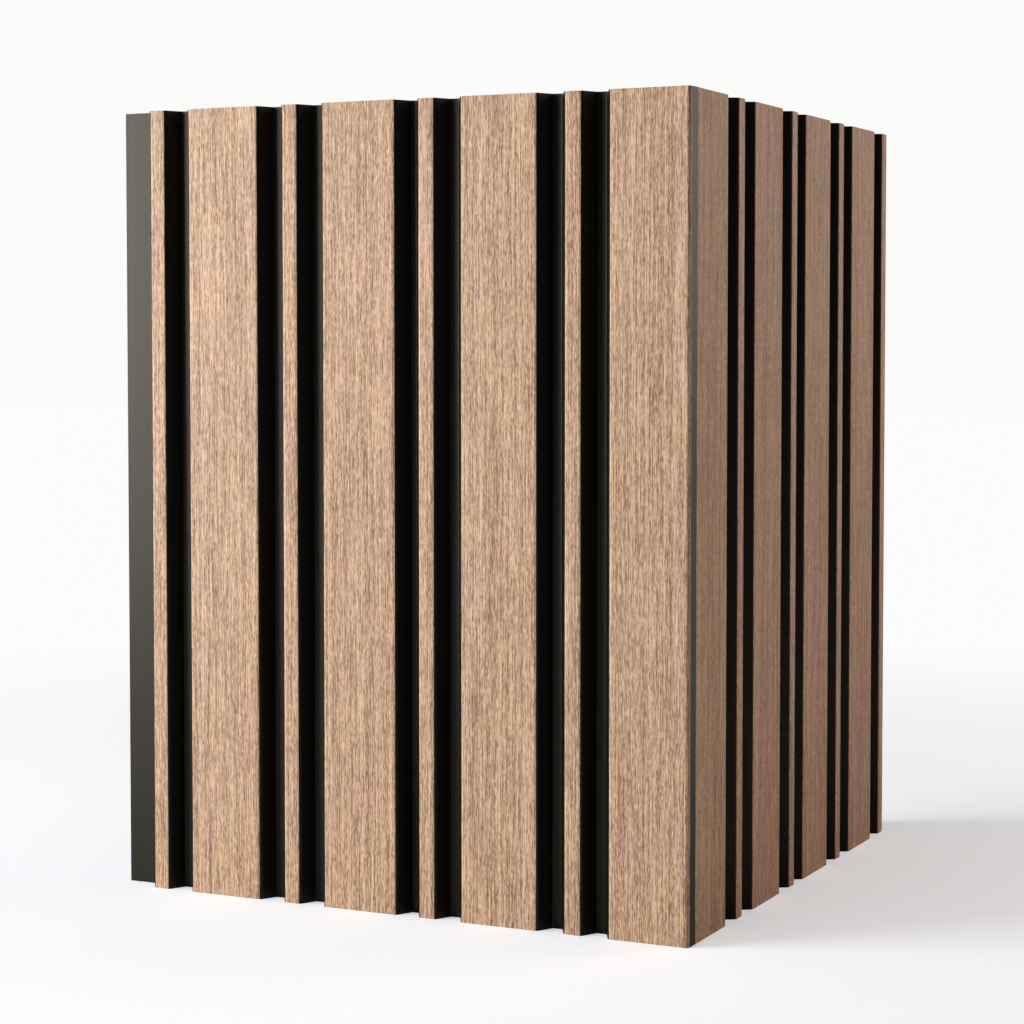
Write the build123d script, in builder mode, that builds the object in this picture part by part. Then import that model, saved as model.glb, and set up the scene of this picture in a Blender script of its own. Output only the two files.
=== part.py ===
"""Outside corner of slatted wall panels, two panels on each leg.

Every panel is one black foamed extrusion with narrow and wide slats on a thin base. A lip on one
edge slides behind the lap edge of the next panel. A wood-effect foil strip covers each slat.
Millimetres, +Z up along the slats. The front leg faces -Y and the side leg faces +X. The origin
is on the floor, in the middle of the box around both legs.
"""

import os
from math import atan2, tan

from build123d import *

# Length that the panels are cut to
panel_length = 316.0

# One panel across its face, measured at the front of the slats
narrow_slat = 7.0
wide_slat = 32.2
groove_width = 11.2
joint_groove = 10.0  # between slats of two neighbouring panels
slat_pairs = 2  # a narrow and a wide slat make a pair
leg_panels = ("corner", "outer")  # the panels of one leg, counted from the corner

# One panel through its thickness
base_thickness = 5.0
slat_height = 7.0
flank_run = 3.6  # how far a slat's flank spreads between its front and its foot
edge_radius = 2.0  # rounded front edges of the slats
foot_radius = 1.2  # where a flank meets the groove floor

# Lap joint between neighbours, and the glued lap at the corner
lip_overlap = 6.3  # how far the lip reaches past the front edge of the neighbour's slat
lip_end_gap = 0.7
lap_clearance = 0.15
corner_radius = 1.5  # rounded front edge of the front leg, cut square for the corner
butt_radius = 0.5  # eased front edge of the side leg, cut square behind it

# Wood-effect foil
foil_thickness = 0.3
foil_turn = 26.0  # degrees that the foil follows a rounded edge towards the flank

# Shallow grooves on the back that take the adhesive
key_width = 3.0
key_depth = 0.8
key_pitch = 12.2

# Sizes that follow from these
panel_thickness = base_thickness + slat_height
lap_height = base_thickness + lap_clearance
slats_per_panel = 2 * slat_pairs
cover_width = joint_groove + slat_pairs * (narrow_slat + wide_slat) + (slats_per_panel - 1) * groove_width
leg_cover = len(leg_panels) * cover_width + lip_overlap
flank_turn = atan2(slat_height, flank_run)  # from the face of a slat to its flank

# The side leg starts behind the front leg's overhang, flush with its square edge
side_start = slat_height
corner_x = leg_cover / 2
front_y = -(side_start + leg_cover) / 2

# Width of the rebate behind a lap edge: for a neighbour's lip, or for the other leg at the corner
lip_rebate = lip_overlap + lip_end_gap
front_corner_rebate = slat_height
side_corner_rebate = lap_height


def slat_fronts():
    """Front edges of one panel's slats, from the lip to the lap edge."""
    fronts = []
    left = joint_groove
    for _ in range(slat_pairs):
        for width in (narrow_slat, wide_slat):
            fronts.append((left, left + width))
            left += width + groove_width
    return fronts


def panel_outline(square_radius, rebate):
    """Corners of a panel's section, across the face and then up from the back."""
    lap_run = 0 if square_radius else flank_run * (panel_thickness - lap_height) / slat_height
    corners = [
        (-lip_overlap, 0),
        (cover_width - rebate, 0),
        (cover_width - rebate, lap_height),
        (cover_width + lap_run, lap_height),
    ]
    fronts = slat_fronts()
    for left, right in reversed(fronts):
        if (left, right) != fronts[-1]:
            corners.append((right + flank_run, base_thickness))
        corners += [(right, panel_thickness), (left, panel_thickness), (left - flank_run, base_thickness)]
    corners.append((-lip_overlap, base_thickness))
    return corners


def foil_section(left, right, square_radius):
    """Thin section of the foil on one slat, turned over both front edges."""
    left_start = left + edge_radius * tan(flank_turn / 2)
    right_radius = square_radius or edge_radius
    right_start = right - (square_radius or edge_radius * tan(flank_turn / 2))
    right_turn = 90 if square_radius else foil_turn
    with BuildSketch() as section:
        with BuildLine():
            CenterArc((left_start, panel_thickness - edge_radius), edge_radius, 90 + foil_turn, -foil_turn)
            Line((left_start, panel_thickness), (right_start, panel_thickness))
            CenterArc((right_start, panel_thickness - right_radius), right_radius, 90, -right_turn)
            offset(amount=foil_thickness, side=Side.RIGHT)
        make_face()
    return section.sketch


def make_panel(name, plane, square_radius, rebate):
    """One panel body and the foil strips on its slats, each written as its own piece."""
    fronts = slat_fronts()
    foils = [foil_section(*front, square_radius if front == fronts[-1] else 0) for front in fronts]
    key_field = cover_width - rebate - joint_groove
    key_count = int(key_field // key_pitch)

    with BuildPart() as body:
        with BuildSketch(plane) as section:
            with BuildLine():
                Polyline(*panel_outline(square_radius, rebate), close=True)
            make_face()
            front_corners = section.vertices().group_by(Axis.Y)[-1].sort_by(Axis.X)
            fillet(front_corners[:-1], radius=edge_radius)
            lap_corner = section.vertices().group_by(Axis.Y)[-1].sort_by(Axis.X)[-1]
            fillet(lap_corner, radius=square_radius or edge_radius)
            groove_feet = section.vertices().group_by(Axis.Y)[1].sort_by(Axis.X)[1:]
            fillet(groove_feet, radius=foot_radius)
            with Locations((joint_groove + key_field / 2, key_depth / 2)):
                with GridLocations(key_pitch, 0, key_count, 1):
                    Rectangle(key_width, key_depth, mode=Mode.SUBTRACT)
            add(foils, mode=Mode.SUBTRACT)
        extrude(amount=panel_length)
    body.part.label = f"{name}_panel"
    export_step(body.part, f"parts/{name}_panel.step")

    for index, foil in enumerate(foils):
        with BuildPart() as strip:
            with BuildSketch(plane):
                add(foil)
            extrude(amount=panel_length)
        kind = "narrow" if index % 2 == 0 else "wide"
        strip.part.label = f"{name}_{kind}_foil_{index // 2 + 1}"
        export_step(strip.part, f"parts/{strip.part.label}.step")


def front_plane(place):
    """Section plane at the top of a front panel, counted from the corner, looking down."""
    left = corner_x - (place + 1) * cover_width
    return Plane(
        origin=(left, front_y + panel_thickness, panel_length), x_dir=(1, 0, 0), z_dir=(0, 0, -1)
    )


def side_plane(place):
    """Section plane at the foot of a side panel, counted from the corner, turned end for end."""
    far = front_y + side_start + (place + 1) * cover_width
    return Plane(origin=(corner_x - panel_thickness, far, 0), x_dir=(0, -1, 0), z_dir=(0, 0, 1))


os.makedirs("parts", exist_ok=True)
for place, name in enumerate(leg_panels):
    at_corner = place == 0
    front_rebate, front_edge = (front_corner_rebate, corner_radius) if at_corner else (lip_rebate, 0)
    side_rebate, side_edge = (side_corner_rebate, butt_radius) if at_corner else (lip_rebate, 0)
    make_panel(f"front_{name}", front_plane(place), front_edge, front_rebate)
    make_panel(f"side_{name}", side_plane(place), side_edge, side_rebate)
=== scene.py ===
"""Finishes, light and camera for an outside corner of slatted wall panels.

The panels are extruded in black foamed polystyrene, and every slat carries a strip of oak-effect
foil. Metres, +Z up along the slats. The front leg faces -Y and the side leg faces +X.
"""

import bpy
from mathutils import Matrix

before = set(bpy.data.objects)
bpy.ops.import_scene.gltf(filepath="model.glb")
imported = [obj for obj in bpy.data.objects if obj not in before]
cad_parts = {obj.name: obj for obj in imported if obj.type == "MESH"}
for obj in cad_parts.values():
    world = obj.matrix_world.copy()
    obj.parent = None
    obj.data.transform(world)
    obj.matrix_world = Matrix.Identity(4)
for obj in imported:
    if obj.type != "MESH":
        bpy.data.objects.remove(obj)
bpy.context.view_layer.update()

import logging
import math
from dataclasses import dataclass, field
from enum import Enum
from typing import Any

import bpy
from mathutils import Vector

LOG = logging.getLogger("slatted_corner")
MM = 0.001
Socket = bpy.types.NodeSocket


def linear(hex_colour: str) -> tuple[float, float, float, float]:
    """Turns an sRGB hex colour into linear light.

    Args:
        hex_colour: six hex digits after a hash sign.

    Returns:
        Linear red, green and blue, with an alpha of 1.
    """
    parts = [int(hex_colour[i : i + 2], 16) / 255 for i in (1, 3, 5)]
    light = [c / 12.92 if c <= 0.04045 else ((c + 0.055) / 1.055) ** 2.4 for c in parts]
    return (light[0], light[1], light[2], 1.0)


def add_node(
    tree: bpy.types.NodeTree, kind: str, settings: dict | None = None, inputs: dict | None = None
) -> Any:
    """Adds one node with its settings, constants and links.

    Args:
        tree: the node tree that gets the node.
        kind: Blender's name of the node's type.
        settings: properties of the node.
        inputs: for each input's name or number, a constant or the output that feeds it.

    Returns:
        The new node.
    """
    node = tree.nodes.new(kind)
    for key, value in (settings or {}).items():
        setattr(node, key, value)
    for key, value in (inputs or {}).items():
        if isinstance(value, Socket):
            tree.links.new(value, node.inputs[key])
        else:
            node.inputs[key].default_value = value
    return node


def new_tree(name: str) -> tuple[bpy.types.Material, bpy.types.NodeTree]:
    """Makes an empty node material.

    Args:
        name: the material's name.

    Returns:
        The material and its node tree.
    """
    material = bpy.data.materials.new(name)
    material.use_nodes = True
    material.node_tree.nodes.clear()
    return material, material.node_tree


class Leg(Enum):
    """The two runs of panels that meet at the corner."""

    FRONT = "front"
    SIDE = "side"


@dataclass(frozen=True)
class Streaks:
    """A noise that is drawn out along the slats.

    Attributes:
        across_mm: usual width of one streak.
        along_mm: usual length of one streak.
        octaves: how many finer noises are added.
        seed: moves the pattern, so that no two are alike.
        fall_off: strength of each finer noise beside the one before it.
        noise_low: the noise's value that counts as darkest.
        noise_high: the noise's value that counts as lightest.
    """

    across_mm: float
    along_mm: float
    octaves: float = 0.0
    seed: float = 0.0
    fall_off: float = 0.55
    noise_low: float = 0.3
    noise_high: float = 0.7

    def factor(self, tree: bpy.types.NodeTree, place: Socket, low: float, high: float) -> Socket:
        """Adds the streaks to a node tree.

        Args:
            tree: the material's node tree.
            place: the point on the surface, in metres.
            low: value where the noise is darkest.
            high: value where the noise is lightest.

        Returns:
            The streaks' value, from low to high.
        """
        across = 1 / (self.across_mm * MM)
        along = 1 / (self.along_mm * MM)
        spot = add_node(
            tree,
            "ShaderNodeMapping",
            inputs={
                "Vector": place,
                "Location": (self.seed, self.seed, self.seed),
                "Scale": (across, across, along),
            },
        )
        noise = add_node(
            tree,
            "ShaderNodeTexNoise",
            inputs={
                "Vector": spot.outputs["Vector"],
                "Scale": 1.0,
                "Detail": self.octaves,
                "Roughness": self.fall_off,
            },
        )
        value = add_node(
            tree,
            "ShaderNodeMapRange",
            inputs={
                "Value": noise.outputs["Fac"],
                "From Min": self.noise_low,
                "From Max": self.noise_high,
                "To Min": low,
                "To Max": high,
            },
        )
        return value.outputs["Result"]


@dataclass(frozen=True)
class OakFoil:
    """Printed and embossed oak-effect foil.

    The print lays pale and dark fibres of many lengths side by side, with slow tan and rosy bands. The
    embossing follows the fibres, so the matt lacquer looks like open-pored wood in raking light. The
    finest fibres are about 0.3 mm wide, so that they still show from the photograph's distance.
    """

    dark: str = "#7E5D44"
    light_tan: str = "#DAB994"
    light_rose: str = "#DAB296"
    roughness: float = 0.55
    ior: float = 1.5
    sheen_level: float = 0.3
    emboss_mm: float = 0.03
    emboss_strength: float = 0.6
    middle_tone: float = 0.5
    bands: Streaks = Streaks(across_mm=3.0, along_mm=30.0, octaves=1.0, seed=3.1)
    grain: tuple[tuple[Streaks, float], ...] = (
        (Streaks(across_mm=2.2, along_mm=90.0, seed=7.7), 0.08),
        (Streaks(across_mm=0.36, along_mm=400.0, seed=11.7), 0.15),
        (Streaks(across_mm=0.34, along_mm=40.0, seed=17.3), 0.18),
        (Streaks(across_mm=0.33, along_mm=12.0, seed=23.4), 0.19),
        (Streaks(across_mm=0.32, along_mm=4.5, seed=41.2), 0.2),
        (Streaks(across_mm=0.28, along_mm=1.7, seed=37.9), 0.27),
    )

    def material(self) -> bpy.types.Material:
        """Returns the foil's material."""
        material, tree = new_tree("oak_effect_foil_embossed")
        place = add_node(tree, "ShaderNodeTexCoord").outputs["Object"]
        fibre: Socket | float = self.middle_tone
        for streaks, depth in self.grain:
            layer = streaks.factor(tree, place, -depth, depth)
            total = add_node(tree, "ShaderNodeMath", {"operation": "ADD"}, {0: fibre, 1: layer})
            fibre = total.outputs["Value"]
        light = add_node(
            tree,
            "ShaderNodeMix",
            {"data_type": "RGBA"},
            {
                "Factor": self.bands.factor(tree, place, 0.0, 1.0),
                "A": linear(self.light_tan),
                "B": linear(self.light_rose),
            },
        )
        colour = add_node(
            tree,
            "ShaderNodeMix",
            {"data_type": "RGBA"},
            {"Factor": fibre, "A": linear(self.dark), "B": light.outputs["Result"]},
        )
        bump = add_node(
            tree,
            "ShaderNodeBump",
            inputs={"Height": fibre, "Distance": self.emboss_mm * MM, "Strength": self.emboss_strength},
        )
        surface = add_node(
            tree,
            "ShaderNodeBsdfPrincipled",
            inputs={
                "Base Color": colour.outputs["Result"],
                "Roughness": self.roughness,
                "IOR": self.ior,
                "Specular IOR Level": self.sheen_level,
                "Normal": bump.outputs["Normal"],
            },
        )
        add_node(tree, "ShaderNodeOutputMaterial", inputs={"Surface": surface.outputs["BSDF"]})
        return material


@dataclass(frozen=True)
class FoamSkin:
    """Black foamed polystyrene, extruded, with a closed satin skin.

    The die leaves faint lines along the slats. Where a panel is sawn across, the skin is gone and
    the fine cells of the core make the cut matt and a little greyer, with painted shade in every cell pit.
    """

    skin: str = "#0C0B09"
    core: str = "#2A2826"
    skin_roughness: float = 0.38
    core_roughness: float = 0.85
    ior: float = 1.55
    sheen_level: float = 0.24
    sheen_tint: str = "#FFF4E0"
    die_lines: Streaks = Streaks(across_mm=1.1, along_mm=400.0, octaves=2.0, seed=5.3)
    line_strength: float = 0.05
    satin_spread: float = 0.03
    cell_mm: float = 0.7
    cell_strength: float = 0.9
    relief_mm: float = 0.12
    pit_reach: float = 0.8
    pit_painted_shade: float = 0.55
    pit_light: float = 1.25
    sawn_above: float = 0.7

    def material(self) -> bpy.types.Material:
        """Returns the body's material."""
        material, tree = new_tree("black_polystyrene_foam_extruded")
        place = add_node(tree, "ShaderNodeTexCoord").outputs["Object"]
        facing = add_node(tree, "ShaderNodeNewGeometry").outputs["True Normal"]
        upward = add_node(tree, "ShaderNodeSeparateXYZ", inputs={"Vector": facing})
        steep = add_node(tree, "ShaderNodeMath", {"operation": "ABSOLUTE"}, {0: upward.outputs["Z"]})
        sawn = add_node(
            tree,
            "ShaderNodeMath",
            {"operation": "GREATER_THAN"},
            {0: steep.outputs["Value"], 1: self.sawn_above},
        )
        cells = add_node(
            tree,
            "ShaderNodeTexVoronoi",
            inputs={"Vector": place, "Scale": 1 / (self.cell_mm * MM)},
        )
        lines = self.die_lines.factor(tree, place, 0.0, 1.0)
        relief = add_node(
            tree,
            "ShaderNodeMix",
            inputs={"Factor": sawn.outputs["Value"], "A": lines, "B": cells.outputs["Distance"]},
        )
        depth = add_node(
            tree,
            "ShaderNodeMapRange",
            inputs={
                "Value": sawn.outputs["Value"],
                "To Min": self.line_strength,
                "To Max": self.cell_strength,
            },
        )
        bump = add_node(
            tree,
            "ShaderNodeBump",
            inputs={
                "Height": relief.outputs["Result"],
                "Distance": self.relief_mm * MM,
                "Strength": depth.outputs["Result"],
            },
        )
        # Painted shade: the cut's colour is darkened in the middle of each foam cell pit and lighter at the
        # cell walls.
        cell_painted_shade = add_node(
            tree,
            "ShaderNodeMapRange",
            inputs={
                "Value": cells.outputs["Distance"],
                "From Max": self.pit_reach,
                "To Min": self.pit_painted_shade,
                "To Max": self.pit_light,
            },
        )
        cut = add_node(
            tree,
            "ShaderNodeMix",
            {"data_type": "RGBA", "blend_type": "MULTIPLY"},
            {"Factor": 1.0, "A": linear(self.core), "B": cell_painted_shade.outputs["Result"]},
        )
        colour = add_node(
            tree,
            "ShaderNodeMix",
            {"data_type": "RGBA"},
            {"Factor": sawn.outputs["Value"], "A": linear(self.skin), "B": cut.outputs["Result"]},
        )
        smoothest = self.skin_roughness - self.satin_spread
        dullest = self.skin_roughness + self.satin_spread
        satin = self.die_lines.factor(tree, place, smoothest, dullest)
        shine = add_node(
            tree,
            "ShaderNodeMix",
            inputs={"Factor": sawn.outputs["Value"], "A": satin, "B": self.core_roughness},
        )
        surface = add_node(
            tree,
            "ShaderNodeBsdfPrincipled",
            inputs={
                "Base Color": colour.outputs["Result"],
                "Roughness": shine.outputs["Result"],
                "IOR": self.ior,
                "Specular IOR Level": self.sheen_level,
                "Specular Tint": linear(self.sheen_tint),
                "Normal": bump.outputs["Normal"],
            },
        )
        add_node(tree, "ShaderNodeOutputMaterial", inputs={"Surface": surface.outputs["BSDF"]})
        return material


@dataclass(frozen=True)
class PaleFloor:
    """Matt white studio paper.

    Close to the object it takes light and shadow as paper does. Further out it fades to the white of
    the surroundings, so that no edge shows.
    """

    paper: str = "#F0F2F5"
    roughness: float = 0.9
    sheen_level: float = 0.1
    lift: float = 0.47
    far_white: str = "#FFFFFF"
    far_level: float = 0.97
    fade_from: float = 0.2
    fade_to: float = 0.8

    def material(self) -> bpy.types.Material:
        """Returns the floor's material."""
        material, tree = new_tree("studio_paper_matt")
        ray = add_node(tree, "ShaderNodeLightPath")
        lift = add_node(
            tree, "ShaderNodeMath", {"operation": "MULTIPLY"}, {0: ray.outputs["Is Camera Ray"], 1: self.lift}
        )
        sheet = add_node(
            tree,
            "ShaderNodeBsdfPrincipled",
            inputs={
                "Base Color": linear(self.paper),
                "Roughness": self.roughness,
                "Specular IOR Level": self.sheen_level,
                "Emission Color": linear(self.paper),
                "Emission Strength": lift.outputs["Value"],
            },
        )
        place = add_node(tree, "ShaderNodeTexCoord").outputs["Object"]
        away = add_node(tree, "ShaderNodeVectorMath", {"operation": "LENGTH"}, {0: place})
        fade = add_node(
            tree,
            "ShaderNodeMapRange",
            {"interpolation_type": "SMOOTHSTEP"},
            {"Value": away.outputs["Value"], "From Min": self.fade_from, "From Max": self.fade_to},
        )
        part = add_node(
            tree,
            "ShaderNodeMath",
            {"operation": "MULTIPLY"},
            {0: fade.outputs["Result"], 1: ray.outputs["Is Camera Ray"]},
        )
        white = add_node(
            tree,
            "ShaderNodeEmission",
            inputs={"Color": linear(self.far_white), "Strength": self.far_level},
        )
        surface = add_node(
            tree,
            "ShaderNodeMixShader",
            inputs={0: part.outputs["Value"], 1: sheet.outputs["BSDF"], 2: white.outputs["Emission"]},
        )
        add_node(tree, "ShaderNodeOutputMaterial", inputs={"Surface": surface.outputs["Shader"]})
        return material


@dataclass
class SlattedLeg:
    """One run of panels, with the foil strips on its slats."""

    leg: Leg
    panels: tuple[str, ...] = ("corner", "outer")
    slats: tuple[str, ...] = ("narrow_foil_1", "wide_foil_1", "narrow_foil_2", "wide_foil_2")
    nodes: dict[str, bpy.types.Object] = field(default_factory=dict)

    def build(self) -> None:
        """Collects the leg's panel bodies and foil strips from the frame."""
        for panel in self.panels:
            for piece in ("panel", *self.slats):
                name = f"{self.leg.value}_{panel}_{piece}"
                self.nodes[name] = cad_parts[name]

    def dress(self, skin: bpy.types.Material, foil: bpy.types.Material) -> None:
        """Gives every piece of the leg its finish.

        Args:
            skin: finish of the extruded bodies.
            foil: finish of the strips on the slats.
        """
        for name, piece in self.nodes.items():
            finish = skin if name.endswith("_panel") else foil
            for slot in piece.material_slots:
                slot.material = finish
            LOG.info("%s has %s", name, finish.name)


@dataclass
class Softbox:
    """A broad lamp with a diffuser, aimed at the object."""

    name: str
    place: tuple[float, float, float]
    aim: tuple[float, float, float]
    width: float
    height: float
    watts: float
    colour: str = "#FFFFFF"

    def build(self) -> None:
        """Hangs the lamp and turns it to its aim."""
        lamp = bpy.data.lights.new(self.name, "AREA")
        lamp.shape = "RECTANGLE"
        lamp.size = self.width
        lamp.size_y = self.height
        lamp.energy = self.watts
        lamp.color = linear(self.colour)[:3]
        holder = bpy.data.objects.new(self.name, lamp)
        holder.location = self.place
        beam = Vector(self.aim) - Vector(self.place)
        holder.rotation_euler = beam.to_track_quat("-Z", "Y").to_euler()
        bpy.context.scene.collection.objects.link(holder)
        LOG.info("lamp %s at %s", self.name, self.place)


@dataclass
class Studio:
    """Pale floor, white surroundings and three softboxes."""

    floor_size: float = 12.0
    surround: str = "#FBFBFA"
    fill: float = 0.12
    room_front: float = 0.02
    room_back: float = 1.0
    heading_front: float = -0.4
    heading_back: float = 0.6
    seen_level: float = 1.0
    lamps: tuple[Softbox, ...] = (
        Softbox(
            "key_left",
            place=(-1.5, -1.235, 0.42),
            aim=(0.0, -0.1, 0.12),
            width=1.1,
            height=0.8,
            watts=49.5,
        ),
        Softbox(
            "overhead",
            place=(-0.3, -0.75, 1.6),
            aim=(-0.1, -0.35, 0.0),
            width=0.9,
            height=0.9,
            watts=4.5,
        ),
        Softbox(
            "back_right",
            place=(1.2, 0.9, 0.6),
            aim=(0.12, 0.0, 0.15),
            width=0.8,
            height=0.8,
            watts=7.3,
            colour="#FFE4D2",
        ),
    )

    def build(self) -> None:
        """Makes the floor, the surroundings and the lamps."""
        self.lay_floor()
        self.paint_surroundings()
        for lamp in self.lamps:
            lamp.build()
        bpy.context.scene.view_settings.view_transform = "Standard"

    def lay_floor(self) -> None:
        """Lays a wide sheet of pale paper under the object."""
        half = self.floor_size / 2
        mesh = bpy.data.meshes.new("studio_floor")
        corners = [(-half, -half, 0), (half, -half, 0), (half, half, 0), (-half, half, 0)]
        mesh.from_pydata(corners, [], [(0, 1, 2, 3)])
        floor = bpy.data.objects.new("studio_floor", mesh)
        bpy.context.scene.collection.objects.link(floor)
        mesh.materials.append(PaleFloor().material())

    def paint_surroundings(self) -> None:
        """Shows white all round to the eye, and sends in a little light from everywhere.

        Reflections see the white backdrop behind the object and a dim room in front of it.
        """
        world = bpy.data.worlds.new("studio_surroundings")
        bpy.context.scene.world = world
        world.use_nodes = True
        tree = world.node_tree
        tree.nodes.clear()
        ray = add_node(tree, "ShaderNodeLightPath")
        toward = add_node(tree, "ShaderNodeTexCoord").outputs["Generated"]
        heading = add_node(tree, "ShaderNodeSeparateXYZ", inputs={"Vector": toward})
        room = add_node(
            tree,
            "ShaderNodeMapRange",
            inputs={
                "Value": heading.outputs["Y"],
                "From Min": self.heading_front,
                "From Max": self.heading_back,
                "To Min": self.room_front,
                "To Max": self.room_back,
            },
        )
        mirrored = add_node(
            tree,
            "ShaderNodeMix",
            inputs={"Factor": ray.outputs["Is Glossy Ray"], "A": self.fill, "B": room.outputs["Result"]},
        )
        seen = add_node(
            tree,
            "ShaderNodeMath",
            {"operation": "MAXIMUM"},
            {0: ray.outputs["Is Camera Ray"], 1: ray.outputs["Is Transmission Ray"]},
        )
        level = add_node(
            tree,
            "ShaderNodeMix",
            inputs={"Factor": seen.outputs["Value"], "A": mirrored.outputs["Result"], "B": self.seen_level},
        )
        sky = add_node(
            tree,
            "ShaderNodeBackground",
            inputs={"Color": linear(self.surround), "Strength": level.outputs["Result"]},
        )
        add_node(tree, "ShaderNodeOutputWorld", inputs={"Surface": sky.outputs["Background"]})


@dataclass
class PhotoCamera:
    """Camera at the photograph's viewing angle, found by fitting the slat edges."""

    place: tuple[float, float, float] = (0.45404, -0.96500, 0.22395)
    turn_deg: float = 25.605
    tilt_deg: float = 2.584
    lens_mm: float = 86.494
    sensor_mm: float = 36.0
    shift_up: float = -0.06

    def build(self) -> None:
        """Makes the camera and the scene looks through it."""
        lens = bpy.data.cameras.new("photo_camera")
        lens.lens = self.lens_mm
        lens.sensor_width = self.sensor_mm
        lens.shift_y = self.shift_up
        camera = bpy.data.objects.new("photo_camera", lens)
        camera.location = self.place
        camera.rotation_euler = (math.radians(90.0 - self.tilt_deg), 0.0, math.radians(self.turn_deg))
        bpy.context.scene.collection.objects.link(camera)
        bpy.context.scene.camera = camera


def main() -> None:
    """Dresses both legs, then sets up the studio and the camera."""
    logging.basicConfig(level=logging.INFO, format="%(name)s: %(message)s")
    skin = FoamSkin().material()
    foil = OakFoil().material()
    for leg in Leg:
        run = SlattedLeg(leg)
        run.build()
        run.dress(skin, foil)
    Studio().build()
    PhotoCamera().build()


if __name__ == "__main__":
    main()
